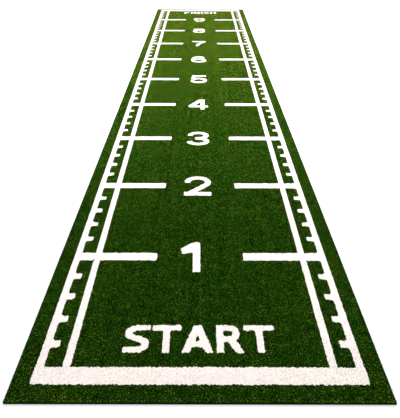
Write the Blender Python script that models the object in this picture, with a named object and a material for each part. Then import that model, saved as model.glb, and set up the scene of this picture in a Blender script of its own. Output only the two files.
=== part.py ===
"""A rolled-out turf training track, 10 metres from its START bar to its FINISH bar.

Green tufted turf lies on a woven cloth and a black rubber cushion. Every white marking is a
strip, numeral or letter of white turf that is let into a pocket in the green pile.

Metres, +Z up. The origin is the centre of the underside, +Y runs from START to FINISH.
"""

import math

import bmesh
import bpy
import numpy as np
from mathutils.geometry import delaunay_2d_cdt

# Layers, from the ground up.
CUSHION_THICKNESS = 0.005
CLOTH_THICKNESS = 0.001
BED_THICKNESS = 0.002
PILE_HEIGHT = 0.012
GLUE_GAP = 0.0003
SEAM_GAP = 0.0003

# The mat and its track.
MAT_WIDTH = 2.0
SIDE_MARGIN = 0.10
START_MARGIN = 0.107
FINISH_MARGIN = 0.075
START_BAR_DEPTH = 0.11
FINISH_BAR_DEPTH = 0.15
METRE_COUNT = 10
METRE_PITCH = 1.0
ZERO_TO_BAR = 0.05

# The lines along and across it.
OUTER_LINE_WIDTH = 0.05
LANE_WIDTH = 0.095
INNER_LINE_WIDTH = 0.05
DISTANCE_LINE_WIDTH = 0.09
NUMERAL_SPACE = 0.61
TICKS_PER_METRE = 4
TICK_WIDTH = 0.055
TICK_LENGTH = 0.05
TICK_CORNER_RADIUS = 0.014

# Numerals and letters.
NUMERAL_HEIGHT = 0.34
NUMERAL_WIDTH = 0.245
NUMERAL_STROKE = 0.058
NUMERAL_OFFSET = -0.022
LETTER_HEIGHT = 0.21
LETTER_STROKE = 0.046
LETTER_TO_BAR = 0.095
START_LETTER_SPACES = (0.006, -0.001, 0.013, -0.004)
FINISH_LETTER_SPACES = (0.022, 0.020, 0.020, 0.020, 0.020)
# A letter's reach is its width between the middles of its outer strokes.
START_LETTER_REACHES = (0.106, 0.132, 0.142, 0.119, 0.142)
FINISH_LETTER_REACHES = (0.079, 0.0, 0.096, 0.0, 0.074, 0.096)

# How finely curves are cut into straight edges, and what counts as one point or one plane.
ARC_STEP = math.radians(18)
CORNER_STEP = math.radians(30)
MERGE_DISTANCE = 1e-6
FLAT_ANGLE = math.radians(0.2)

TURF_GREEN = (0.045, 0.115, 0.012)
TURF_WHITE = (0.83, 0.82, 0.77)
RUBBER_BLACK = (0.012, 0.012, 0.013)
CLOTH_GREY = (0.05, 0.05, 0.048)
PILE_ROUGHNESS = 0.85
RUBBER_ROUGHNESS = 0.7
CLOTH_ROUGHNESS = 0.8

# Heights of the layers' faces.
CUSHION_TOP = CUSHION_THICKNESS
CLOTH_BOTTOM = CUSHION_TOP + GLUE_GAP
CLOTH_TOP = CLOTH_BOTTOM + CLOTH_THICKNESS
TURF_BOTTOM = CLOTH_TOP + GLUE_GAP
POCKET_FLOOR = TURF_BOTTOM + BED_THICKNESS
INLAY_BOTTOM = POCKET_FLOOR + SEAM_GAP
TURF_TOP = POCKET_FLOOR + PILE_HEIGHT

# Places along the track, from the bars and margins that make up its length.
LINE_HALF = DISTANCE_LINE_WIDTH / 2
TRACK_LENGTH = METRE_COUNT * METRE_PITCH
BAR_TO_BAR = TRACK_LENGTH - 2 * ZERO_TO_BAR
MAT_LENGTH = START_MARGIN + START_BAR_DEPTH + BAR_TO_BAR + FINISH_BAR_DEPTH + FINISH_MARGIN
START_EDGE = -MAT_LENGTH / 2
START_BAR_OUT = START_EDGE + START_MARGIN
START_BAR_IN = START_BAR_OUT + START_BAR_DEPTH
FINISH_BAR_IN = START_BAR_IN + BAR_TO_BAR
FINISH_BAR_OUT = FINISH_BAR_IN + FINISH_BAR_DEPTH
ZERO_LINE = START_BAR_IN - ZERO_TO_BAR

# Places across it, from the edge inwards.
OUTER_LINE_OUT = MAT_WIDTH / 2 - SIDE_MARGIN
OUTER_LINE_IN = OUTER_LINE_OUT - OUTER_LINE_WIDTH
INNER_LINE_OUT = OUTER_LINE_IN - LANE_WIDTH
INNER_LINE_IN = INNER_LINE_OUT - INNER_LINE_WIDTH
DISTANCE_LINE_END = NUMERAL_SPACE / 2


# Outlines. Each is a list of (x, y) corners that runs counter-clockwise.

def bar(left, low, right, high):
    return [(left, low), (right, low), (right, high), (left, high)]


FOOTPRINT = bar(-MAT_WIDTH / 2, START_EDGE, MAT_WIDTH / 2, -START_EDGE)


def slant(foot, head, low, high, width):
    """A leaning stem: level ends of one width, its left corners at foot and head."""
    return [(foot, low), (foot + width, low), (head + width, high), (head, high)]


def oval(centre, reach, first, last):
    """Points along an ellipse from one angle to another, in degrees."""
    first, last = math.radians(first), math.radians(last)
    steps = max(1, round(abs(last - first) / ARC_STEP))
    angles = [first + (last - first) * i / steps for i in range(steps + 1)]
    return [(centre[0] + reach[0] * math.cos(a), centre[1] + reach[1] * math.sin(a)) for a in angles]


def area_of(outline):
    x, y = np.array(outline).T
    return float(np.sum(x * np.roll(y, -1) - y * np.roll(x, -1))) / 2


def mitres(points, closed):
    """For each point, the vector that moves both edges beside it one unit to their right."""
    points = np.array(points, float)
    along = np.roll(points, -1, axis=0) - points
    along /= np.maximum(np.linalg.norm(along, axis=1, keepdims=True), MERGE_DISTANCE)
    after = np.stack([along[:, 1], -along[:, 0]], axis=1)
    before = np.roll(after, 1, axis=0)
    if not closed:
        after[-1] = before[-1]
        before[0] = after[0]
    middle = after + before
    return 2 * middle / np.sum(middle * middle, axis=1, keepdims=True)


def crossing(start, end, other_start, other_end):
    """Where the lines through two edges meet."""
    along = end - start
    across_it = np.array([other_start[1] - other_end[1], other_end[0] - other_start[0]])
    return start + along * np.dot(other_start - start, across_it) / np.dot(along, across_it)


def unfolded(path, moved):
    """The moved path without the edges that a tight bend turns back or cuts under a seam's width."""
    path, moved = list(path), list(moved)
    at = 1
    while at < len(moved) - 2:
        along = path[at + 1] - path[at]
        if np.dot(moved[at + 1] - moved[at], along) > SEAM_GAP * np.linalg.norm(along):
            at += 1
            continue
        moved[at:at + 2] = [crossing(*moved[at - 1:at + 3])]
        path[at:at + 2] = [(path[at] + path[at + 1]) / 2]
        at = max(1, at - 1)
    return moved


def stroke(path, width):
    """A stroke of even width along a path, square at both ends."""
    path = np.array(path, float)
    side = mitres(path, False) * width / 2
    outline = [tuple(p) for p in unfolded(path, path + side) + unfolded(path, path - side)[::-1]]
    return outline if area_of(outline) > 0 else outline[::-1]


def ring(centre, reach, width):
    """A closed oval stroke, as two halves that meet."""
    outer = (reach[0] + width / 2, reach[1] + width / 2)
    inner = (reach[0] - width / 2, reach[1] - width / 2)
    return [oval(centre, outer, a, a + 180) + oval(centre, inner, a + 180, a) for a in (0, 180)]


def grown(outline, gap):
    """The outline moved outwards by a gap, with sharp corners kept sharp."""
    outline = outline if area_of(outline) > 0 else outline[::-1]
    moved = np.array(outline) + mitres(outline, True) * gap
    return [tuple(p) for p in moved]


def placed(shapes, left, low):
    return [[(x + left, y + low) for x, y in outline] for outline in shapes]


def turned(shapes, width, height):
    """The shapes turned half a turn inside their box."""
    return [[(width - x, height - y) for x, y in outline] for outline in shapes]


# Letters and numerals. Each is a list of strokes that overlap or meet, in a box of the given
# width and height whose lower left corner is (0, 0).

def letter_s(width, height, line):
    half = line / 2
    reach = (width / 2 - half, (height - line) / 4)
    upper = oval((width / 2, height - half - reach[1]), reach, 90, 216)
    lower = oval((width / 2, half + reach[1]), reach, 36, -90)
    path = [(width, height - half)] + upper + lower + [(0, half)]
    return [stroke(path, line)]


def letter_t(width, height, line):
    stem = (width - line) / 2
    return [bar(0, height - line, width, height), bar(stem, 0, stem + line, height)]


def letter_a(width, height, line):
    foot = line * 1.12
    apex = (width - foot) / 2
    arm_low = height * 0.2
    arm_left = apex * arm_low / height + line / 2
    crossbar = bar(arm_left, arm_low, width - arm_left, arm_low + line)
    return [slant(0, apex, 0, height, foot), slant(width - foot, apex, 0, height, foot), crossbar]


def letter_r(width, height, line):
    half = line / 2
    foot = line * 1.2
    reach = (height * 0.21, height * 0.205)
    centre = (width - line - reach[0], height - half - reach[1])
    waist = centre[1] - reach[1]
    bowl = [(half, height - half)] + oval(centre, reach, 90, -90) + [(half, waist)]
    leg = slant(width - foot, centre[0] - line / 3, 0, waist, foot)
    return [bar(0, 0, line, height), stroke(bowl, line), leg]


def letter_f(width, height, line):
    arm_low = height * 0.4
    arm = bar(0, arm_low, width - line / 3, arm_low + line)
    return [bar(0, 0, line, height), bar(0, height - line, width, height), arm]


def letter_i(width, height, line):
    return [bar(0, 0, width, height)]


def letter_n(width, height, line):
    foot = line * 1.15
    diagonal = slant(width - foot, 0, 0, height, foot)
    return [bar(0, 0, line, height), bar(width - line, 0, width, height), diagonal]


def letter_h(width, height, line):
    arm_low = (height - line) / 2
    arm = bar(0, arm_low, width, arm_low + line)
    return [bar(0, 0, line, height), bar(width - line, 0, width, height), arm]


def numeral_1(width, height, line):
    stem = width * 0.37
    middle = stem + line / 2
    high = height * 0.75
    under = [(0, high), (line * 0.3, high - line), (middle, height * 0.67)]
    return [bar(stem, 0, stem + line, height), under + [(middle, height), (stem, height)]]


def numeral_2(width, height, line):
    half = line / 2
    reach = (width / 2 - half, height * 0.235)
    hook = oval((width / 2, height - half - reach[1]), reach, 188, -36)
    return [stroke(hook + [(line * 0.75, half)], line), bar(0, 0, width, line * 1.1)]


def numeral_3(width, height, line):
    half = line / 2
    rise = (height - line) / 4
    arm = (width * 0.36, height / 2)
    upper = oval((width / 2, height - half - rise), (width / 2 - line * 0.6, rise), 184, -90)
    lower = oval((width / 2, half + rise), (width / 2 - half, rise), 90, -182)
    return [stroke(upper + [arm], line), stroke([arm] + lower, line)]


def numeral_4(width, height, line):
    stem = width * 0.59
    foot = line * 1.35
    arm_low = height * 0.22
    slope = slant(0, stem + line - foot, arm_low + line, height, foot)
    return [bar(stem, 0, stem + line, height), bar(0, arm_low, width, arm_low + line), slope]


def numeral_5(width, height, line):
    half = line / 2
    head = width * 0.13
    reach = (width / 2 - half, height * 0.245)
    bowl = oval((width / 2, half + reach[1]), reach, 144, -176)
    back = slant(width * 0.04, head, height * 0.46, height, line)
    return [stroke(bowl, line), back, bar(head, height - line, width * 0.94, height)]


def numeral_6(width, height, line):
    half = line / 2
    reach = (width / 2 - half, height * 0.225)
    centre = (width / 2, half + reach[1])
    tail = oval((width / 2, height / 2), (reach[0], height / 2 - half), 180, 27)
    return ring(centre, reach, line) + [stroke([(half, centre[1])] + tail, line)]


def numeral_7(width, height, line):
    knee = height * 0.45
    shoulder = height - line
    left = [(width - line * 1.3, shoulder), (width * 0.36, knee), (width * 0.22, 0)]
    right = [(width * 0.22 + line * 1.05, 0), (width * 0.36 + line * 1.15, knee), (width, shoulder)]
    return [bar(0, shoulder, width, height), left + right]


def numeral_8(width, height, line):
    half = line / 2
    upper_reach = (width / 2 - line * 0.62, (height - line) * 0.235)
    lower_reach = (width / 2 - half, (height - line) / 2 - upper_reach[1])
    upper = ring((width / 2, height - half - upper_reach[1]), upper_reach, line)
    return upper + ring((width / 2, half + lower_reach[1]), lower_reach, line)


def numeral_9(width, height, line):
    return turned(numeral_6(width, height, line), width, height)


NUMERALS = (
    numeral_1,
    numeral_2,
    numeral_3,
    numeral_4,
    numeral_5,
    numeral_6,
    numeral_7,
    numeral_8,
    numeral_9,
)
START_LETTERS = (
    ("start_letter_s", letter_s),
    ("start_letter_t1", letter_t),
    ("start_letter_a", letter_a),
    ("start_letter_r", letter_r),
    ("start_letter_t2", letter_t),
)
FINISH_LETTERS = (
    ("finish_letter_f", letter_f),
    ("finish_letter_i1", letter_i),
    ("finish_letter_n", letter_n),
    ("finish_letter_i2", letter_i),
    ("finish_letter_s", letter_s),
    ("finish_letter_h", letter_h),
)


def word(letters, reaches, spaces, low):
    """The letters of one word, centred across the track, as {name: shapes}."""
    widths = [reach + LETTER_STROKE for reach in reaches]
    left = -(sum(widths) + sum(spaces)) / 2
    found = {}
    for (name, draw), width, space in zip(letters, widths, spaces + (0,)):
        found[name] = placed(draw(width, LETTER_HEIGHT, LETTER_STROKE), left, low)
        left += width + space
    return found


def tick(side, low):
    """A short mark from the outer line into the lane, with rounded corners at its free end."""
    root, tip, radius = OUTER_LINE_IN, OUTER_LINE_IN - TICK_LENGTH, TICK_CORNER_RADIUS
    steps = round(math.pi / 2 / CORNER_STEP)
    turns = [math.pi / 2 * i / steps for i in range(steps + 1)]
    high = low + TICK_WIDTH
    upper = [(tip + radius - radius * math.sin(a), high - radius + radius * math.cos(a)) for a in turns]
    lower = [(tip + radius - radius * math.cos(a), low + radius - radius * math.sin(a)) for a in turns]
    outline = [(side * x, y) for x, y in [(root, high)] + upper + lower + [(root, low)]]
    return outline if area_of(outline) > 0 else outline[::-1]


def across(side, inner, outer, low, high):
    """A bar between two distances from the middle, on one side of the track."""
    left, right = sorted((side * inner, side * outer))
    return bar(left, low, right, high)


def scale(side):
    """The outer line with its ticks: short ones, and a long one at every metre."""
    low, high = START_BAR_IN + SEAM_GAP, FINISH_BAR_IN - SEAM_GAP
    shapes = [across(side, OUTER_LINE_IN, OUTER_LINE_OUT, low, high)]
    space = (METRE_PITCH - DISTANCE_LINE_WIDTH - TICKS_PER_METRE * TICK_WIDTH) / (TICKS_PER_METRE + 1)
    for metre in range(METRE_COUNT):
        line = ZERO_LINE + metre * METRE_PITCH
        if metre:
            reach = INNER_LINE_OUT + SEAM_GAP
            shapes.append(across(side, reach, OUTER_LINE_IN, line - LINE_HALF, line + LINE_HALF))
        for i in range(TICKS_PER_METRE):
            shapes.append(tick(side, line + LINE_HALF + space + i * (TICK_WIDTH + space)))
    return shapes


def markings():
    """Every white inlay, as {name: shapes}."""
    found = {}
    found["start_bar"] = [bar(-OUTER_LINE_OUT, START_BAR_OUT, OUTER_LINE_OUT, START_BAR_IN)]
    found["finish_bar"] = [bar(-OUTER_LINE_OUT, FINISH_BAR_IN, OUTER_LINE_OUT, FINISH_BAR_OUT)]
    low, high = START_BAR_IN + SEAM_GAP, FINISH_BAR_IN - SEAM_GAP
    for name, side in (("left", -1), ("right", 1)):
        found[name + "_scale"] = scale(side)
        found[name + "_inner_line"] = [across(side, INNER_LINE_IN, INNER_LINE_OUT, low, high)]
        for metre in range(1, METRE_COUNT):
            line = ZERO_LINE + metre * METRE_PITCH
            reach = INNER_LINE_IN - SEAM_GAP
            shape = across(side, DISTANCE_LINE_END, reach, line - LINE_HALF, line + LINE_HALF)
            found[f"{name}_line_{metre}m"] = [shape]
    for metre, draw in zip(range(1, METRE_COUNT), NUMERALS):
        low = ZERO_LINE + metre * METRE_PITCH - NUMERAL_HEIGHT / 2
        left = NUMERAL_OFFSET - NUMERAL_WIDTH / 2
        shapes = draw(NUMERAL_WIDTH, NUMERAL_HEIGHT, NUMERAL_STROKE)
        found[f"numeral_{metre}"] = placed(shapes, left, low)
    low = START_BAR_IN + LETTER_TO_BAR
    found.update(word(START_LETTERS, START_LETTER_REACHES, START_LETTER_SPACES, low))
    low = FINISH_BAR_IN - LETTER_TO_BAR - LETTER_HEIGHT
    found.update(word(FINISH_LETTERS, FINISH_LETTER_REACHES, FINISH_LETTER_SPACES, low))
    return found


# Solids.

def joined(outlines):
    """One triangulation of all the outlines: points, triangles and the outlines over each."""
    corners = [corner for outline in outlines for corner in outline]
    ends = np.cumsum([len(outline) for outline in outlines]).tolist()
    loops = [list(range(end - len(outline), end)) for outline, end in zip(outlines, ends)]
    points, _, triangles, _, _, owners = delaunay_2d_cdt(corners, [], loops, 0, MERGE_DISTANCE)
    return points, triangles, owners


def solid(name, material, bottom, top, outlines, floor=0.0, pockets=()):
    """The area that the outlines cover, from bottom to top, with pockets sunk to a floor."""
    points, triangles, owners = joined(list(outlines) + list(pockets))
    shape = bmesh.new()
    made = {}

    def corner(point, height):
        if (point, height) not in made:
            made[point, height] = shape.verts.new((*points[point], height))
        return made[point, height]

    heights = {}
    for triangle, over in zip(triangles, owners):
        if not over:
            continue
        height = floor if max(over) >= len(outlines) else top
        shape.faces.new([corner(p, height) for p in triangle])
        shape.faces.new([corner(p, bottom) for p in reversed(triangle)])
        heights.update({(a, b): height for a, b in zip(triangle, triangle[1:] + triangle[:1])})
    for (a, b), height in heights.items():
        lower = heights.get((b, a), bottom)
        if lower < height:
            shape.faces.new([corner(b, height), corner(a, height), corner(a, lower), corner(b, lower)])
    bmesh.ops.dissolve_limit(shape, angle_limit=FLAT_ANGLE, verts=shape.verts, edges=shape.edges)
    bmesh.ops.triangulate(shape, faces=shape.faces)
    mesh = bpy.data.meshes.new(name)
    shape.to_mesh(mesh)
    shape.free()
    mesh.materials.append(material)
    piece = bpy.data.objects.new(name, mesh)
    bpy.context.collection.objects.link(piece)
    return piece


def finish(name, colour, roughness):
    material = bpy.data.materials.new(name)
    material.use_nodes = True
    shader = material.node_tree.nodes["Principled BSDF"]
    shader.inputs["Base Color"].default_value = (*colour, 1)
    shader.inputs["Roughness"].default_value = roughness
    shader.inputs["Metallic"].default_value = 0
    return material


def layer(name, material, bottom, top):
    """A sheet of the mat's full size."""
    return solid(name, material, bottom, top, [FOOTPRINT])


def green_turf(inlays):
    """The green pile on its stitched bed, with a pocket under every inlay."""
    pockets = [grown(outline, SEAM_GAP) for shapes in inlays.values() for outline in shapes]
    green = finish("green_pile", TURF_GREEN, PILE_ROUGHNESS)
    return solid("green_turf", green, TURF_BOTTOM, TURF_TOP, [FOOTPRINT], POCKET_FLOOR, pockets)


def main():
    for old in list(bpy.data.objects):
        bpy.data.objects.remove(old, do_unlink=True)
    mat = bpy.data.objects.new("turf_track", None)
    bpy.context.collection.objects.link(mat)
    inlays = markings()
    rubber = finish("black_rubber", RUBBER_BLACK, RUBBER_ROUGHNESS)
    cloth = finish("woven_cloth", CLOTH_GREY, CLOTH_ROUGHNESS)
    pieces = [
        layer("cushion_backing", rubber, 0, CUSHION_TOP),
        layer("woven_backing", cloth, CLOTH_BOTTOM, CLOTH_TOP),
        green_turf(inlays),
    ]
    white = finish("white_pile", TURF_WHITE, PILE_ROUGHNESS)
    for name, shapes in inlays.items():
        pieces.append(solid(name, white, INLAY_BOTTOM, TURF_TOP, shapes))
    for piece in pieces:
        piece.parent = mat


main()
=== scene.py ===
import math

import bpy
import numpy as np
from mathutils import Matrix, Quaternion, Vector


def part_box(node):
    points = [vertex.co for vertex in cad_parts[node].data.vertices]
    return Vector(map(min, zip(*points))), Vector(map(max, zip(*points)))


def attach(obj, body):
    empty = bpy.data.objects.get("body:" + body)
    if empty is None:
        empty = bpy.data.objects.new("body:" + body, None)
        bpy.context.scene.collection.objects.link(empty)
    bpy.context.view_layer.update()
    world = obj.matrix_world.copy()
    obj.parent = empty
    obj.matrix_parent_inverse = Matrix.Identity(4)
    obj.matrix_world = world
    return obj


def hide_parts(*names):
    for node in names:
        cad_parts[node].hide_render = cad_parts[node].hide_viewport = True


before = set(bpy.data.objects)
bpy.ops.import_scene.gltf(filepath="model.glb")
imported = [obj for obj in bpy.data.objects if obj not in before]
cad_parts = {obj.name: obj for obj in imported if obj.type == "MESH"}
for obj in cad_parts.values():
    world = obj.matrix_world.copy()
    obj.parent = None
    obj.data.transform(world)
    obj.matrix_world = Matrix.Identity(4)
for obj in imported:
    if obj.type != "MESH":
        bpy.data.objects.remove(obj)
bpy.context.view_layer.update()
print("frame loaded:", len(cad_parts), "nodes")

# Corners and heights of the layers in metres, taken from the frame.
seamGap = 0.0003  # between an inlay and the floor of its pocket
mat = {
    "low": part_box("green_turf")[0],
    "high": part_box("green_turf")[1],
    "pocketFloor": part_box("start_bar")[0].z - seamGap,
    "inlayBottom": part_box("start_bar")[0].z,
    "greenStrips": 10,  # the green pile is built as this many strips along the roll
}

# How the pile is tufted and sheared: lengths in metres.
tufting = {
    "columns": 230,  # tuft rows across the roll
    "stitches": 1190,  # stitches along each row
    "seed": 41,
    "cornerDrift": 0.0013,  # how far a tuft's corner strays from the grid
    "edgeDrift": (0.0024, 0.0050),  # how far a colour change strays, across and along the roll
    "cornerRadius": 0.014,  # yarn rounds off a sharp corner of a marking by this much
    "sharpTurn": 0.55,  # sine of the least turn that counts as a sharp corner
    "cornerClear": 0.004,  # a corner this close to another marking's corner stays sharp
    "cornerSearch": 0.02,  # corners are looked for this far outside a marking's box
    "sideShare": 0.48,  # most of a side's length that a rounded corner takes
    "curvePoints": 5,
    "greenOverlap": 0.0026,  # how far the green yarn leans in over the rim of a marking
    "edgeReach": 0.6,  # corners this share of a stitch from a drawn line move onto it
    "edgeStep": 0.03,  # long outline edges are cut to this before the corners are moved
    "besideStep": 0.002,  # how far outside an edge its free side is looked for
    "bedShare": 0.46,  # share of the pile height at which the yarns close up
    "bedRelief": 0.0009,
    "bladesPerTuft": 2,
    "bladeWidth": 0.0026,
    "tipWidth": 0.0019,
    "tipScatter": 0.0010,  # uneven shearing of the pile
    "lean": 0.0030,  # how far a tip strays sideways from its root
    "nap": 0.0038,  # and how far all tips lie over towards the START bar
    "mostLean": 0.0075,
    "nearLean": 0.5,  # share of its lean that a blade in the first stitch row keeps, turned inward
    "leanDrop": 40.0,  # a leaning tip sinks by this times the square of its lean
    "tipRise": 0.0006,  # the tallest tips stand this far over the shearing height
    "leastStand": 0.001,  # and the lowest this far over the bed
    "twist": 0.9,
    "tipSlope": 0.5,
    "rootSpread": 0.38,  # share of a tuft's width by which its roots spread to either side
    "sunk": 0.0012,  # blades start this far under the bed
    "overhang": 0.0022,  # blades by a cut edge lean out over it
    "ownerStray": 0.7,  # share of the edge drift by which a blade may stand over the colour change
}

# Shades are dark below 0 and light above it. Heights in the pile go from 0, its foot, to 1, its tips.
shading = {
    "tuftOwn": 0.75,
    "tuftRow": 0.22,
    "bedOfTuft": 0.6,
    "bladeOfTuft": 0.45,
    "bladeOwn": 0.75,
    "bladeLimit": 1.6,
    "bladeFoot": 0.40,
    # Blade tips read lower in the yarn's ramp, with less of its painted light, by a random multiple of
    # tipFade, up to mostFade times.
    "tipFade": 0.10,
    "mostFade": 3.0,
    # Painted shade: the bed takes its colour from this much deeper in the yarn's ramp, so it is darker.
    "bedShadeDepth": 0.06,  # the bed reads this much deeper than it is, as yarn stands over it all round
    "limit": 2.0,
}


# Camera: a person standing just in front of the START bar.
def makeCamera():
    view = {
        "place": Vector((-0.003, -6.610, 2.138)),
        "down": 0.5821,
        "aside": 0.0007,
        "roll": 0.0025,
        "lens": 40.254,
        "sensor": 36.0,
        "clipEnd": 600.0,
    }
    data = bpy.data.cameras.new("trackCamera")
    data.lens = view["lens"]
    data.sensor_width = view["sensor"]
    data.clip_end = view["clipEnd"]
    camera = bpy.data.objects.new("trackCamera", data)
    bpy.context.scene.collection.objects.link(camera)
    level, aside = math.cos(view["down"]), view["aside"]
    ahead = Vector((math.sin(aside) * level, math.cos(aside) * level, -math.sin(view["down"])))
    camera.rotation_mode = "QUATERNION"
    turned = ahead.to_track_quat("-Z", "Y")
    camera.rotation_quaternion = turned @ Quaternion((0, 0, 1), view["roll"])
    camera.location = view["place"]
    bpy.context.scene.camera = camera


# Studio: white surroundings, one broad soft light overhead, and a row of softboxes above the
# track, each turned towards the finish, so that the pile brightens with distance.
def makeStudio():
    studio = {
        "surround": 1.0,
        "overhead": {"place": (0.0, 1.2, 4.6), "size": (5.0, 9.0), "power": 270.0, "tilt": 0.0},
        "beyond": {"place": (0.0, 9.0, 3.4), "size": (6.0, 3.0), "power": 100.0, "tilt": -58.0},
        "rowPlaces": (-4.6, -2.6, -0.4, 2.0),
        "rowPowers": (86.0, 235.0, 250.0, 180.0),
        "rowHeight": 2.7,
        "rowSize": (4.0, 1.0),
        "rowTilt": 68.0,
        "floorHalf": 300.0,
        "floorDrop": 0.0004,
        "floorColour": (0.72, 0.72, 0.72, 1.0),
        "floorRoughness": 0.9,
        "floorGlow": 0.16,
    }
    world = bpy.data.worlds.new("studio")
    bpy.context.scene.world = world
    world.use_nodes = True
    background = world.node_tree.nodes["Background"]
    background.inputs["Color"].default_value = (1.0, 1.0, 1.0, 1.0)
    background.inputs["Strength"].default_value = studio["surround"]
    lights = [studio["overhead"], studio["beyond"]]
    for y, power in zip(studio["rowPlaces"], studio["rowPowers"]):
        light = {"place": (0.0, y, studio["rowHeight"]), "size": studio["rowSize"]}
        lights.append({**light, "power": power, "tilt": studio["rowTilt"]})
    for number, light in enumerate(lights):
        data = bpy.data.lights.new(f"softbox{number}", "AREA")
        data.shape = "RECTANGLE"
        data.size, data.size_y = light["size"]
        data.energy = light["power"]
        lamp = bpy.data.objects.new(f"softbox{number}", data)
        lamp.location = light["place"]
        lamp.rotation_euler = (math.radians(light["tilt"]), 0.0, 0.0)
        bpy.context.scene.collection.objects.link(lamp)
    half, down = studio["floorHalf"], -studio["floorDrop"]
    mesh = bpy.data.meshes.new("floor")
    corners = [(-half, -half, down), (half, -half, down), (half, half, down), (-half, half, down)]
    mesh.from_pydata(corners, [], [(0, 1, 2, 3)])
    floor = bpy.data.objects.new("floor", mesh)
    bpy.context.scene.collection.objects.link(floor)
    material = bpy.data.materials.new("studioFloor")
    material.use_nodes = True
    shader = material.node_tree.nodes["Principled BSDF"]
    shader.inputs["Base Color"].default_value = studio["floorColour"]
    shader.inputs["Roughness"].default_value = studio["floorRoughness"]
    shader.inputs["Emission Color"].default_value = (1.0, 1.0, 1.0, 1.0)
    shader.inputs["Emission Strength"].default_value = studio["floorGlow"]
    mesh.materials.append(material)
    bpy.context.scene.view_settings.view_transform = "Standard"


makeCamera()
makeStudio()
print("camera and studio made")


# Materials. Each is a small node tree on one Principled shader.
def newMaterial(name):
    material = bpy.data.materials.new(name)
    material.use_nodes = True
    tree = material.node_tree
    return material, tree, tree.nodes["Principled BSDF"]


def addNode(tree, kind, values=None, **settings):
    node = tree.nodes.new(kind)
    for key, value in settings.items():
        setattr(node, key, value)
    for key, value in (values or {}).items():
        node.inputs[key].default_value = value
    return node


def addRamp(tree, factor, stops):
    ramp = tree.nodes.new("ShaderNodeValToRGB")
    elements = ramp.color_ramp.elements
    while len(elements) < len(stops):
        elements.new(0.5)
    for element, (place, colour) in zip(elements, stops):
        element.position = place
        element.color = (*colour, 1.0)
    tree.links.new(factor, ramp.inputs["Fac"])
    return ramp.outputs["Color"]


def addMath(tree, operation, first, second, clamp=False):
    node = tree.nodes.new("ShaderNodeMath")
    node.operation = operation
    node.use_clamp = clamp
    for socket, value in zip(node.inputs, (first, second)):
        if isinstance(value, (int, float)):
            socket.default_value = value
        else:
            tree.links.new(value, socket)
    return node.outputs[0]


def addMix(tree, blend, factor, first, second):
    node = tree.nodes.new("ShaderNodeMix")
    node.data_type = "RGBA"
    node.blend_type = blend
    for socket, value in ((node.inputs[0], factor), (node.inputs[6], first), (node.inputs[7], second)):
        if isinstance(value, (int, float, tuple)):
            socket.default_value = value
        else:
            tree.links.new(value, socket)
    return node.outputs[2]


def addNoise(tree, coordinates, scale, detail, roughness=0.5):
    values = {"Scale": scale, "Detail": detail, "Roughness": roughness}
    node = addNode(tree, "ShaderNodeTexNoise", values)
    tree.links.new(coordinates, node.inputs["Vector"])
    return node.outputs["Fac"]


def addRoughness(tree, shader, factor, ends):
    low, high = ends
    rough = addMath(tree, "ADD", addMath(tree, "MULTIPLY", factor, high - low), low, True)
    tree.links.new(rough, shader.inputs["Roughness"])


def addBump(tree, shader, height, strength, distance):
    bump = addNode(tree, "ShaderNodeBump", {"Strength": strength, "Distance": distance})
    tree.links.new(height, bump.inputs["Height"])
    tree.links.new(bump.outputs["Normal"], shader.inputs["Normal"])


# What both yarns share, with the detail and roughness of their noises.
yarnDetail = {
    "patch": 3.0,
    "fibre": (2.0, 0.6),
    "mottle": (4.0, 0.75),
    "darkest": 0.1,
    "bumpDepth": 0.0006,
    "sheenRoughness": 0.45,
}


def makeYarn(name, look):
    # Cut pile yarn, matt at the foot and less rough at the sheared tip. Its colour is painted shade and
    # light by height:
    # dark at the foot, where shade falls among the tufts, and light at the tip, as if lit. Each tuft has
    # its own shade, each tuft row a fainter one, patches drift in hue and brightness, and a finer mottle
    # paints highlights and shade.
    material, tree, shader = newMaterial(name)
    place = addNode(tree, "ShaderNodeTexCoord").outputs["Object"]
    height = addNode(tree, "ShaderNodeAttribute", attribute_name="yarnHeight").outputs["Fac"]
    shade = addNode(tree, "ShaderNodeAttribute", attribute_name="yarnShade").outputs["Fac"]
    # Painted shade and light: the yarn's colour darkens towards the foot of the pile and lightens towards
    # the tips.
    colour = addRamp(tree, height, look["stops"])
    patches = addNoise(tree, place, look["patchScale"], yarnDetail["patch"])
    patched = addRamp(tree, patches, look["patchTints"])
    colour = addMix(tree, "MULTIPLY", 1.0, colour, patched)
    fibres = addNoise(tree, place, look["fibreScale"], *yarnDetail["fibre"])
    wander = addMath(tree, "MULTIPLY", addMath(tree, "SUBTRACT", fibres, 0.5), look["fibreShade"])
    bright = addMath(tree, "ADD", addMath(tree, "MULTIPLY", shade, look["tuftShade"]), 1.0)
    # Painted highlights and shade: a mottle of brightness at the size of blade clusters, some as if lit
    # and some as if in shade.
    mottle = addNoise(tree, place, look["mottleScale"], *yarnDetail["mottle"])
    mottle = addMath(tree, "MULTIPLY", addMath(tree, "SUBTRACT", mottle, 0.5), look["paintedLightMottle"])
    bright = addMath(tree, "ADD", addMath(tree, "ADD", bright, wander), mottle)
    bright = addMath(tree, "MAXIMUM", bright, yarnDetail["darkest"])
    grey = addNode(tree, "ShaderNodeCombineColor")
    for socket in grey.inputs[:3]:
        tree.links.new(bright, socket)
    colour = addMix(tree, "MULTIPLY", 1.0, colour, grey.outputs["Color"])
    tree.links.new(colour, shader.inputs["Base Color"])
    smoother = addMath(tree, "MULTIPLY", height, look["tipGloss"])
    rough = addMath(tree, "SUBTRACT", look["footRoughness"], smoother)
    tree.links.new(addMath(tree, "ADD", rough, wander, True), shader.inputs["Roughness"])
    addBump(tree, shader, fibres, look["bump"], yarnDetail["bumpDepth"])
    shader.inputs["Specular IOR Level"].default_value = look["specular"]
    shader.inputs["Sheen Weight"].default_value = look["sheen"]
    shader.inputs["Sheen Roughness"].default_value = yarnDetail["sheenRoughness"]
    return material


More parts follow.
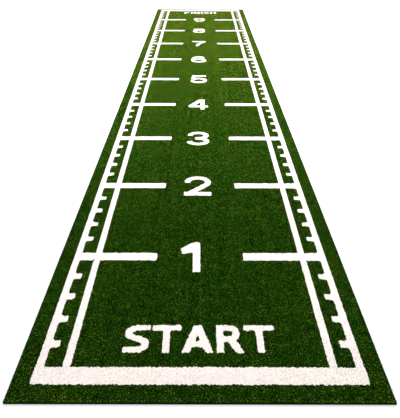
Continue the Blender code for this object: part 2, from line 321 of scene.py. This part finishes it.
greenYarn = {
    # Painted shade and light by height in the pile: near black at the foot, where shade falls, and pale
    # yellow-green at the tips, as if lit.
    "stops": [
        (0.0, (0.0005, 0.0060, 0.0004)),
        (0.45, (0.0040, 0.0220, 0.0012)),
        (0.76, (0.0200, 0.0680, 0.0045)),
        (0.88, (0.2750, 0.4200, 0.0290)),
        (1.0, (0.8600, 0.9000, 0.0850)),
    ],
    "patchScale": 1.7,
    "patchTints": [(0.30, (0.90, 1.0, 1.0)), (0.5, (1.0, 1.0, 1.0)), (0.72, (1.12, 1.02, 0.95))],
    "fibreScale": 900.0,
    "fibreShade": 0.5,
    "mottleScale": 26.0,
    "paintedLightMottle": 3.0,
    "tuftShade": 0.62,
    "footRoughness": 0.80,
    "tipGloss": 0.24,
    "bump": 0.5,
    "specular": 0.0,
    "sheen": 0.0,
}
whiteYarn = {
    # Painted shade by height in the pile: grey at the foot under the bed, and the standing blades painted
    # greyer than the bed of the same yarn.
    "stops": [
        (0.0, (0.40, 0.37, 0.35)),
        (0.32, (0.80, 0.73, 0.70)),
        (0.46, (0.855, 0.785, 0.750)),
        (0.60, (0.450, 0.415, 0.395)),
        (1.0, (0.505, 0.470, 0.440)),
    ],
    "patchScale": 1.3,
    "patchTints": [(0.30, (0.99, 1.0, 0.98)), (0.5, (1.0, 1.0, 1.0)), (0.72, (1.0, 0.985, 0.98))],
    "fibreScale": 900.0,
    "fibreShade": 0.22,
    "mottleScale": 26.0,
    "paintedLightMottle": 0.30,
    "tuftShade": 0.06,
    "footRoughness": 0.80,
    "tipGloss": 0.20,
    "bump": 0.5,
    "specular": 0.25,
    "sheen": 0.10,
}
greenPile = makeYarn("greenYarn", greenYarn)
whitePile = makeYarn("whiteYarn", whiteYarn)


# The stitch grid. Neighbouring pieces share its corners, so their pile closes up between them.
rng = np.random.default_rng(tufting["seed"])
columns, stitches = tufting["columns"], tufting["stitches"]
gridX = np.linspace(mat["low"].x, mat["high"].x, columns + 1)
gridY = np.linspace(mat["low"].y, mat["high"].y, stitches + 1)
pileTop, pileFoot = mat["high"].z, mat["pocketFloor"]
bedHeight = pileFoot + tufting["bedShare"] * (pileTop - pileFoot)
topSlack = 1e-4  # a face this close to the pile's top belongs to it
leastEdge = 1e-7  # and an outline edge no longer than this is left out


def outlineOf(node):
    # The border of a solid's top face: the edges that only one of its top triangles has.
    mesh = node.data
    mesh.calc_loop_triangles()
    points = np.empty(len(mesh.vertices) * 3, np.float32)
    mesh.vertices.foreach_get("co", points)
    triangles = np.empty(len(mesh.loop_triangles) * 3, np.int32)
    mesh.loop_triangles.foreach_get("vertices", triangles)
    faces = points.reshape(-1, 3)[triangles.reshape(-1, 3)]
    faces = faces[faces[:, :, 2].min(axis=1) > pileTop - topSlack][:, :, :2].astype(float)
    spots, index = np.unique(np.round(faces.reshape(-1, 2), 6), axis=0, return_inverse=True)
    index = index.reshape(-1, 3)
    edges = np.stack([index, np.roll(index, -1, axis=1)], axis=-1).reshape(-1, 2)
    code = edges[:, 0] * len(spots) + edges[:, 1]
    back = edges[:, 1] * len(spots) + edges[:, 0]
    border = edges[~np.isin(code, back)]
    return spots[border[:, 0]], spots[border[:, 1]]


def roundCorners(outlines):
    # Sharp free corners are rounded, as yarn can't follow them: each becomes a curve of four short
    # edges, the points of a parabola that leaves and meets the two sides one radius from the corner.
    ends = [np.concatenate(outline) for outline in outlines]
    rounded = []
    for number, (starts, stops) in enumerate(outlines):
        others = np.concatenate(ends[:number] + ends[number + 1:])
        follow = {tuple(start): place for place, start in enumerate(starts)}
        after = np.array([follow[tuple(stop)] for stop in stops])
        before = np.empty_like(after)
        before[after] = np.arange(len(after))
        into, away = starts - starts[before], stops - starts
        long1, long2 = np.hypot(*into.T), np.hypot(*away.T)
        turn = into[:, 0] * away[:, 1] - into[:, 1] * away[:, 0]
        sharp = np.abs(turn) > tufting["sharpTurn"] * long1 * long2
        low = starts.min(axis=0) - tufting["cornerSearch"]
        high = starts.max(axis=0) + tufting["cornerSearch"]
        close = others[((others > low) & (others < high)).all(axis=1)]
        if len(close):
            gap = np.hypot(*(starts[:, None] - close[None]).transpose(2, 0, 1)).min(axis=1)
            sharp &= gap > tufting["cornerClear"]
        most = tufting["sideShare"] * np.minimum(long1, long2)
        radius = np.where(sharp, np.minimum(tufting["cornerRadius"], most), 0.0)
        share = np.linspace(0, 1, tufting["curvePoints"])[None, :, None]
        first = (starts - into * (radius / long1)[:, None])[:, None]
        last = (starts + away * (radius / long2)[:, None])[:, None]
        curve = first * (1 - share) ** 2 + starts[:, None] * 2 * share * (1 - share) + last * share ** 2
        begin = np.concatenate([curve[:, :-1].reshape(-1, 2), curve[:, -1]])
        end = np.concatenate([curve[:, 1:].reshape(-1, 2), curve[after, 0]])
        real = np.hypot(*(end - begin).T) > leastEdge
        rounded.append((begin[real], end[real]))
    return rounded


def insideOutline(x, y, outline):
    # A point is inside where a line from it to the right crosses the outline an odd number of times.
    odd = np.zeros(x.shape, bool)
    for (ax, ay), (bx, by) in zip(*outline):
        if ay != by:
            spans = (ay > y) != (by > y)
            odd ^= spans & (x < ax + (y - ay) / (by - ay) * (bx - ax))
    return odd


def stripOf(x):
    # The green strip that lies under a place.
    return np.clip(np.searchsorted(gridX, x) - 1, 0, columns - 1) * mat["greenStrips"] // columns


def inlaysAt(x, y, outlines):
    # The number of the inlay whose outline a place lies in, or -1.
    found = np.full(x.shape, -1)
    for number, outline in enumerate(outlines):
        low = np.minimum(outline[0].min(axis=0), outline[1].min(axis=0))
        high = np.maximum(outline[0].max(axis=0), outline[1].max(axis=0))
        near = np.nonzero((x > low[0]) & (x < high[0]) & (y > low[1]) & (y < high[1]))
        inside = insideOutline(x[near], y[near], outline)
        found[tuple(index[inside] for index in near)] = number
    return found


def ownersOf(x, y, outlines):
    # A place is white if it and four places round it lie in inlays, since the green yarn beside a
    # marking leans in over its rim, and green otherwise. The two solid bars keep their full depth.
    found = inlaysAt(x, y, outlines)
    white = found >= 0
    edge = tufting["greenOverlap"]
    for stepX, stepY in ((edge, 0), (-edge, 0), (0, edge), (0, -edge)):
        white &= (inlaysAt(x + stepX, y + stepY, outlines) >= 0) | np.isin(found, fullDepth)
    return np.where(white, found + mat["greenStrips"], stripOf(x))


def snapToOutlines(x, y, outlines):
    # Grid corners close to a drawn line move to the nearest point on it, so colour changes follow
    # the line and not the grid. The line is drawn in by the green overlap where the inlay is free.
    starts, ends, numbers = [], [], []
    for number, (start, end) in enumerate(outlines):
        pieces = np.maximum(1, np.ceil(np.hypot(*(end - start).T) / tufting["edgeStep"])).astype(int)
        which = np.repeat(np.arange(len(start)), pieces)
        step = np.arange(len(which)) - np.repeat(np.cumsum(pieces) - pieces, pieces)
        share = (step / pieces[which])[:, None]
        along = (end - start)[which]
        starts.append(start[which] + along * share)
        ends.append(starts[-1] + along / pieces[which][:, None])
        numbers.append(np.full(len(which), number))
    starts, ends, numbers = np.concatenate(starts), np.concatenate(ends), np.concatenate(numbers)
    along = ends - starts
    inward = np.stack([-along[:, 1], along[:, 0]], axis=-1) / np.hypot(*along.T)[:, None]
    beside = (starts + ends) / 2 - inward * tufting["besideStep"]
    free = (inlaysAt(beside[:, 0], beside[:, 1], outlines) < 0) & ~np.isin(numbers, fullDepth)
    shift = inward * np.where(free, tufting["greenOverlap"], 0.0)[:, None]
    starts, ends = starts + shift, ends + shift
    reach = tufting["edgeReach"] * (gridY[1] - gridY[0])
    nearest = np.full(x.shape, reach)
    newX, newY = x.copy(), y.copy()
    first, last = np.minimum(starts, ends) - reach, np.maximum(starts, ends) + reach
    c0, c1 = np.searchsorted(gridX, first[:, 0]), np.searchsorted(gridX, last[:, 0])
    r0, r1 = np.searchsorted(gridY, first[:, 1]), np.searchsorted(gridY, last[:, 1])
    for n in np.nonzero((c1 > c0) & (r1 > r0))[0]:
        part = np.s_[r0[n]:r1[n], c0[n]:c1[n]]
        (startX, startY), (alongX, alongY) = starts[n], along[n]
        share = (x[part] - startX) * alongX + (y[part] - startY) * alongY
        share = np.clip(share / (alongX ** 2 + alongY ** 2), 0, 1)
        onX, onY = startX + share * alongX, startY + share * alongY
        distance = np.hypot(onX - x[part], onY - y[part])
        closer = distance < nearest[part]
        nearest[part][closer] = distance[closer]
        newX[part][closer], newY[part][closer] = onX[closer], onY[closer]
    return newX, newY, nearest < reach


def driftCorners(x, y, onLine):
    # Every corner strays a little, and those on a colour change by their own measure.
    spans = [np.where(onLine, edge, tufting["cornerDrift"]) for edge in tufting["edgeDrift"]]
    drift = rng.uniform(-1, 1, (2, *x.shape)) * np.stack(spans)
    drift[:, [0, -1], :] = 0
    drift[:, :, [0, -1]] = 0
    z = bedHeight + rng.uniform(-1, 1, x.shape) * tufting["bedRelief"]
    return np.stack([x + drift[0], y + drift[1], z], axis=-1)


layers = ("green_turf", "cushion_backing", "woven_backing")
inlayNames = [n for n in sorted(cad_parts) if n not in layers]
fullDepth = [inlayNames.index("start_bar"), inlayNames.index("finish_bar")]
outlines = roundCorners([outlineOf(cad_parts[n]) for n in inlayNames])
straight = np.stack(np.meshgrid(gridX, gridY), axis=-1)
snapX, snapY, onLine = snapToOutlines(straight[:, :, 0], straight[:, :, 1], outlines)
middles = [(v[:-1, :-1] + v[:-1, 1:] + v[1:, 1:] + v[1:, :-1]) / 4 for v in (snapX, snapY)]
owner = ownersOf(*middles, outlines)
corners = driftCorners(snapX, snapY, onLine)
print("tufts laid out:", owner.size)

# Every tuft's own shade: mostly its own, partly that of its tuft row.
rowShade = rng.normal(0, 1, columns)
tuftShade = shading["tuftOwn"] * rng.uniform(-1, 1, owner.shape) + shading["tuftRow"] * rowShade[None, :]


def wallsOf(mine, held, depths):
    # A wall stands wherever a tuft's neighbour isn't in the same piece. It goes down to the pocket's
    # floor if the neighbour is in the same strip, and to the underside otherwise.
    found = []
    for r1, c1, r2, c2, stepC, stepR in (
        (0, 0, 0, 1, 0, -1), (0, 1, 1, 1, 1, 0), (1, 1, 1, 0, 0, 1), (1, 0, 0, 0, -1, 0)
    ):
        beside = np.roll(mine, (-stepR, -stepC), (0, 1))
        kept = np.roll(held, (-stepR, -stepC), (0, 1))
        r, c = np.nonzero(mine & ~beside)
        low = np.where(kept[r, c], depths[0], depths[1])
        found.append((r + r1, c + c1, r + r2, c + c2, low))
    return [np.concatenate(x) for x in zip(*found)]


def runsOf(cells):
    # Runs of neighbouring tufts along a tuft row: column, first and last grid line.
    padded = np.zeros((cells.shape[0] + 2, cells.shape[1]), np.int8)
    padded[1:-1] = cells
    change = np.diff(padded, axis=0)
    column, start = np.nonzero((change == 1).T)
    _, stop = np.nonzero((change == -1).T)
    return column, start, stop


def flatRuns(cells, height, up, offset):
    # One flat rectangle for each run of tufts.
    column, start, stop = runsOf(cells)
    column = column + offset[1]
    start, stop = start + offset[0], stop + offset[0]
    x0, x1, y0, y1 = gridX[column], gridX[column + 1], gridY[start], gridY[stop]
    z = np.full(len(x0), height)
    ring = [(x0, y0), (x1, y0), (x1, y1), (x0, y1)]
    if not up:
        ring = ring[::-1]
    return np.stack([np.stack([x, y, z], axis=-1) for x, y in ring], axis=1)


def makeBlades():
    # Each blade is a cut strip of yarn: a foot edge under the bed and a twisted, shifted tip edge
    # at the shearing height. Blades by a cut edge of the mat lean out over it, but for the edge by
    # the START bar, where the nap would lay them over too far.
    r, c = [index.ravel() for index in np.indices(owner.shape)]
    r, c = np.repeat(r, tufting["bladesPerTuft"]), np.repeat(c, tufting["bladesPerTuft"])
    count, spread, most = len(r), tufting["rootSpread"], tufting["mostLean"]
    foot = np.stack([
        (gridX[c] + gridX[c + 1]) / 2 + rng.uniform(-spread, spread, count) * (gridX[1] - gridX[0]),
        gridY[r] + rng.uniform(0, 1, count) * (gridY[1] - gridY[0]),
        np.full(count, bedHeight - tufting["sunk"]),
    ], axis=-1)
    away = rng.normal(0, 1, (count, 2)) * tufting["lean"]
    away[:, 1] -= tufting["nap"]
    away[c == 0, 0] -= tufting["overhang"]
    away[c == columns - 1, 0] += tufting["overhang"]
    away[r == 0, 1] = np.abs(away[r == 0, 1]) * tufting["nearLean"]
    away[r == stitches - 1, 1] += tufting["overhang"]
    away = np.clip(away, -most, most)
    # A tip's height: the shearing height, and a little, less its scatter and what its lean takes.
    tip = foot.copy()
    tip[:, :2] += away
    tip[:, 2] = pileTop + tufting["tipRise"] - rng.exponential(1.0, count) * tufting["tipScatter"]
    tip[:, 2] -= (away ** 2).sum(axis=1) * tufting["leanDrop"]
    tip[:, 2] = np.maximum(tip[:, 2], bedHeight + tufting["leastStand"])
    around = rng.uniform(0, 2 * np.pi, count)
    turn = around + rng.uniform(-1, 1, count) * tufting["twist"]
    footSide = np.stack([np.cos(around), np.sin(around), 0 * around], axis=-1) * tufting["bladeWidth"] / 2
    slope = tufting["tipSlope"] * rng.uniform(-1, 1, count)
    tipSide = np.stack([np.cos(turn), np.sin(turn), slope], axis=-1) * tufting["tipWidth"] / 2
    quads = np.stack([foot - footSide, foot + footSide, tip + tipSide, tip - tipSide], axis=1)
    fade = shading["tipFade"] * rng.exponential(1.0, count).clip(0, shading["mostFade"])
    shade = shading["bladeOfTuft"] * tuftShade[r, c] + shading["bladeOwn"] * rng.uniform(-1, 1, count)
    shade = np.clip(shade, -shading["bladeLimit"], shading["bladeLimit"])
    stray = rng.uniform(-1, 1, (2, count)) * np.array(tufting["edgeDrift"])[:, None]
    stray *= tufting["ownerStray"]
    home = ownersOf(foot[:, 0] + stray[0], foot[:, 1] + stray[1], outlines)
    strips = home < mat["greenStrips"]
    home[strips] = c[strips] * mat["greenStrips"] // columns
    low = np.full(count, shading["bladeFoot"])
    heights = np.stack([low, low, 1.0 - fade, 1.0 - fade], axis=1)
    return quads, heights, shade, home


bladeQuads, bladeHeights, bladeShades, bladeHomes = makeBlades()

tileEdges = (0.14, 0.86)  # a face fills its tile from the first share to the second


def tileMap(count):
    # Each face gets its own square tile of the map, in rows, foot edge down.
    across = math.ceil(math.sqrt(count))
    n = np.arange(count)
    corner = np.stack([n % across, n // across], axis=-1)[:, None, :]
    near, far = tileEdges
    square = np.array([(near, near), (far, near), (far, far), (near, far)])
    return (corner + square[None]) / across


def meshOf(name, quads):
    # An object of loose quads from an array of faces, corners and coordinates.
    count = len(quads)
    mesh = bpy.data.meshes.new(name)
    mesh.vertices.add(count * 4)
    mesh.loops.add(count * 4)
    mesh.polygons.add(count)
    mesh.vertices.foreach_set("co", quads.astype(np.float32).ravel())
    mesh.loops.foreach_set("vertex_index", np.arange(count * 4, dtype=np.int32))
    mesh.polygons.foreach_set("loop_start", np.arange(0, count * 4, 4, dtype=np.int32))
    mesh.update(calc_edges=True)
    piece = bpy.data.objects.new(name, mesh)
    bpy.context.scene.collection.objects.link(piece)
    return piece


def makePile(name, number, held, depths, material, replaced):
    # number is the piece's own in owner, and held marks the tufts that its underside covers. The
    # faces are its bed, its blades, the walls round it, its underside and the floors of its pockets.
    mine = owner == number
    rows, cols = np.nonzero(held)
    r0, r1, c0, c1 = rows.min(), rows.max() + 1, cols.min(), cols.max() + 1
    part = np.s_[r0:r1, c0:c1]
    near, under = np.pad(mine[part], 1), np.pad(held[part], 1)
    r, c = np.nonzero(mine[part])
    r, c = r + r0, c + c0
    bed = np.stack([corners[r, c], corners[r, c + 1], corners[r + 1, c + 1], corners[r + 1, c]], axis=1)
    wr1, wc1, wr2, wc2, low = wallsOf(near, under, depths)
    wr1, wc1, wr2, wc2 = wr1 + r0 - 1, wc1 + c0 - 1, wr2 + r0 - 1, wc2 + c0 - 1
    foot1 = np.concatenate([straight[wr1, wc1], low[:, None]], axis=1)
    foot2 = np.concatenate([straight[wr2, wc2], low[:, None]], axis=1)
    walls = np.stack([foot1, foot2, corners[wr2, wc2], corners[wr1, wc1]], axis=1)
    flats = [flatRuns(held[part], depths[1], False, (r0, c0))]
    pocket = held[part] & ~mine[part]
    if pocket.any():
        flats.append(flatRuns(pocket, depths[0], True, (r0, c0)))
    flats = np.concatenate(flats)
    own = bladeHomes == number
    quads = np.concatenate([bed, bladeQuads[own], walls, flats])
    count = len(quads)
    bedShades = tuftShade[r, c] * shading["bedOfTuft"]
    shades = np.concatenate([bedShades, bladeShades[own], np.zeros(len(walls) + len(flats))])
    # Each face's height picks the painted shade and light of its yarn's ramp, and the bed's is set deeper
    # for more painted shade.
    heights = (quads[:, :, 2] - pileFoot) / (pileTop - pileFoot)
    heights[: len(bed)] -= shading["bedShadeDepth"]
    heights[len(bed) : len(bed) + own.sum()] = bladeHeights[own]
    piece = meshOf(name, quads)
    mesh = piece.data
    layer = mesh.uv_layers.new(name="OFBake", do_init=False)
    layer.uv.foreach_set("vector", tileMap(count).astype(np.float32).ravel())
    for title, values in (("yarnHeight", heights.ravel()), ("yarnShade", np.repeat(shades, 4))):
        attribute = mesh.attributes.new(title, "FLOAT", "POINT")
        values = np.clip(values, -shading["limit"], shading["limit"])
        attribute.data.foreach_set("value", values.astype(np.float32))
    mesh.materials.append(material)
    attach(piece, "root")
    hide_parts(replaced)
    return piece


pilePieces = []
greenDepths = (mat["pocketFloor"], mat["low"].z)
stripOfColumn = np.arange(columns) * mat["greenStrips"] // columns
for strip in range(mat["greenStrips"]):
    held = np.tile(stripOfColumn == strip, (stitches, 1))
    piece = makePile(f"green_pile_{strip + 1:02d}", strip, held, greenDepths, greenPile, "green_turf")
    pilePieces.append(piece)
whiteDepths = (mat["inlayBottom"], mat["inlayBottom"])
for number, name in enumerate(inlayNames, mat["greenStrips"]):
    piece = makePile(f"{name}_pile", number, owner == number, whiteDepths, whitePile, name)
    pilePieces.append(piece)
triangles = [len(p.data.polygons) * 2 for p in pilePieces]
print("pile made:", len(pilePieces), "pieces,", sum(triangles), "triangles, most", max(triangles))

# The backing under the pile: a woven cloth that the yarn is tufted into, on a rubber cushion.
cloth = {
    "low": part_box("woven_backing")[0],
    "high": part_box("woven_backing")[1],
    "inset": 0.0012,  # the cloth proper ends this far inside the cut, and yarn ends fill the rest
    "ripple": 0.00012,
    "columns": 24,
    "rows": 120,
    "yarnPitch": 0.0036,
    "yarnDrift": 0.2,
    "yarnWidth": 0.0022,
    "yarnSpread": (0.7, 1.1),
    "yarnHeight": 0.36,  # share of the cloth's thickness, up and down from its middle
    "yarnTaper": 0.75,
    "yarnEnd": (0.0003, 0.0016),  # how far the cut yarn ends stand out of the cloth
    "yarnRoot": 0.001,  # and how far inside it they start
    "mostPast": 0.0004,  # no yarn end stands further than this past the cut
    "cornerGap": 0.004,
    "weaveScale": 1400.0,
    "stripeScale": 70.0,
    "stripeWander": 0.4,
    "warp": (0.085, 0.083, 0.076),
    "weft": (0.040, 0.040, 0.038),
    "fibreDetail": (3.0, 0.7),
    "fibreTints": [(0.25, (0.55, 0.55, 0.55)), (0.75, (1.25, 1.25, 1.22))],
    "roughness": (0.65, 0.95),
    "bump": (0.6, 0.0004),
    "specular": 0.1,
}
rubber = {
    "crumb": [
        (0.0, (0.0035, 0.0035, 0.0038)),
        (0.62, (0.010, 0.010, 0.011)),
        (0.70, (0.030, 0.030, 0.031)),
    ],
    "crumbScale": 420.0,
    "crumbDetail": (2.0, 0.65),
    "crumbRelief": 0.8,
    "patchScale": 3.0,
    "patchDetail": (4.0, 0.6),
    "scuffs": [(0.35, (0.85, 0.85, 0.85)), (0.7, (1.35, 1.32, 1.28))],
    "waffleScale": 260.0,
    "waffleWander": 0.15,
    "roughness": (0.72, 0.92),
    "bump": (0.5, 0.0006),
    "specular": 0.12,
}


def makeWeave(name, look):
    # Plain weave: two sets of stripes cross, and each shows where its own wave stands higher.
    material, tree, shader = newMaterial(name)
    place = addNode(tree, "ShaderNodeTexCoord").outputs["Object"]
    waves = []
    for direction in ("X", "Y"):
        values = {"Scale": look["stripeScale"], "Distortion": look["stripeWander"]}
        wave = addNode(tree, "ShaderNodeTexWave", values, bands_direction=direction)
        tree.links.new(place, wave.inputs["Vector"])
        waves.append(wave.outputs["Fac"])
    over = addMath(tree, "GREATER_THAN", waves[0], waves[1])
    colour = addMix(tree, "MIX", over, (*look["weft"], 1.0), (*look["warp"], 1.0))
    fibres = addNoise(tree, place, look["weaveScale"], *look["fibreDetail"])
    tints = addRamp(tree, fibres, look["fibreTints"])
    tree.links.new(addMix(tree, "MULTIPLY", 1.0, colour, tints), shader.inputs["Base Color"])
    addRoughness(tree, shader, fibres, look["roughness"])
    addBump(tree, shader, addMath(tree, "MAXIMUM", waves[0], waves[1]), *look["bump"])
    shader.inputs["Specular IOR Level"].default_value = look["specular"]
    return material


def makeRubber(name, look):
    # Black rubber crumb: fine pale grains in black, scuffed patches, and a waffle pattern.
    material, tree, shader = newMaterial(name)
    place = addNode(tree, "ShaderNodeTexCoord").outputs["Object"]
    grains = addNoise(tree, place, look["crumbScale"], *look["crumbDetail"])
    patches = addNoise(tree, place, look["patchScale"], *look["patchDetail"])
    colour = addRamp(tree, grains, look["crumb"])
    scuffs = addRamp(tree, patches, look["scuffs"])
    tree.links.new(addMix(tree, "MULTIPLY", 1.0, colour, scuffs), shader.inputs["Base Color"])
    addRoughness(tree, shader, patches, look["roughness"])
    values = {"Scale": look["waffleScale"], "Randomness": look["waffleWander"]}
    waffle = addNode(tree, "ShaderNodeTexVoronoi", values)
    tree.links.new(place, waffle.inputs["Vector"])
    relief = addMath(tree, "MULTIPLY", grains, look["crumbRelief"])
    addBump(tree, shader, addMath(tree, "ADD", waffle.outputs["Distance"], relief), *look["bump"])
    shader.inputs["Specular IOR Level"].default_value = look["specular"]
    return material


def makeCloth():
    # A closed slab of two rippled grids, x across and y along, with a wall round it; the ripple is
    # sin(9.1 x + 2 sin(3.7 y)) cos(7.3 y). Round it stand short yarn ends: boxes from inside the
    # slab out to a random reach.
    inset, (low, high) = cloth["inset"], (cloth["low"], cloth["high"])
    u = np.linspace(low.x + inset, high.x - inset, cloth["columns"] + 1)
    v = np.linspace(low.y + inset, high.y - inset, cloth["rows"] + 1)
    x, y = np.meshgrid(u, v)
    wave = np.sin(x * 9.1 + 2.0 * np.sin(y * 3.7)) * np.cos(y * 7.3) * cloth["ripple"]
    bottom = np.stack([x, y, low.z + cloth["ripple"] + wave], axis=-1)
    top = np.stack([x, y, high.z - cloth["ripple"] + wave], axis=-1)
    quads = [
        np.stack([top[:-1, :-1], top[:-1, 1:], top[1:, 1:], top[1:, :-1]], axis=2),
        np.stack([bottom[:-1, :-1], bottom[1:, :-1], bottom[1:, 1:], bottom[:-1, 1:]], axis=2),
    ]
    quads = [faces.reshape(-1, 4, 3) for faces in quads]
    for part, flip in ((np.s_[0, :], 0), (np.s_[:, -1], 0), (np.s_[-1, :], 1), (np.s_[:, 0], 1)):
        below, above = bottom[part], top[part]
        wall = np.stack([below[:-1], below[1:], above[1:], above[:-1]], axis=1)
        quads.append(wall[:, ::-1] if flip else wall)
    middle, half = (low.z + high.z) / 2, (high.z - low.z) * cloth["yarnHeight"]
    for axis, side in ((0, 1), (0, -1), (1, 1), (1, -1)):
        edge = (high if side > 0 else low)[axis] - side * inset
        first, last = low[1 - axis] + cloth["cornerGap"], high[1 - axis] - cloth["cornerGap"]
        at = np.arange(first, last, cloth["yarnPitch"])
        at = at + rng.uniform(-cloth["yarnDrift"], cloth["yarnDrift"], len(at)) * cloth["yarnPitch"]
        reach = rng.uniform(*cloth["yarnEnd"], len(at))
        reach = np.minimum(reach, inset + cloth["mostPast"])
        wide = cloth["yarnWidth"] / 2 * rng.uniform(*cloth["yarnSpread"], len(at))
        corner = np.empty((len(at), 2, 2, 2, 3))  # out or in, along, up, place
        for out in (0, 1):
            for along in (0, 1):
                for up in (0, 1):
                    spot = corner[:, out, along, up]
                    spot[:, axis] = edge + side * (reach if out else -cloth["yarnRoot"])
                    narrow = cloth["yarnTaper"] if out else 1.0
                    spot[:, 1 - axis] = at + (wide if along else -wide) * narrow
                    spot[:, 2] = middle + (half if up else -half)
        c = corner
        box = [
            (c[:, 1, 0, 0], c[:, 1, 1, 0], c[:, 1, 1, 1], c[:, 1, 0, 1]),
            (c[:, 0, 0, 1], c[:, 1, 0, 1], c[:, 1, 1, 1], c[:, 0, 1, 1]),
            (c[:, 0, 0, 0], c[:, 0, 1, 0], c[:, 1, 1, 0], c[:, 1, 0, 0]),
            (c[:, 0, 0, 0], c[:, 1, 0, 0], c[:, 1, 0, 1], c[:, 0, 0, 1]),
            (c[:, 0, 1, 0], c[:, 0, 1, 1], c[:, 1, 1, 1], c[:, 1, 1, 0]),
            (c[:, 0, 0, 0], c[:, 0, 0, 1], c[:, 0, 1, 1], c[:, 0, 1, 0]),
        ]
        ends = np.stack([np.stack(face, axis=1) for face in box], axis=1).reshape(-1, 4, 3)
        quads.append(ends if (axis == 0) == (side > 0) else ends[:, ::-1])
    return np.concatenate(quads)


clothPiece = meshOf("woven_cloth", makeCloth())
clothPiece.data.materials.append(makeWeave("wovenCloth", cloth))
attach(clothPiece, "root")
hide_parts("woven_backing")
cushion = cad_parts["cushion_backing"]
cushion.data.materials.clear()
cushion.data.materials.append(makeRubber("crumbRubber", rubber))
print("backing made:", len(clothPiece.data.polygons), "cloth faces")
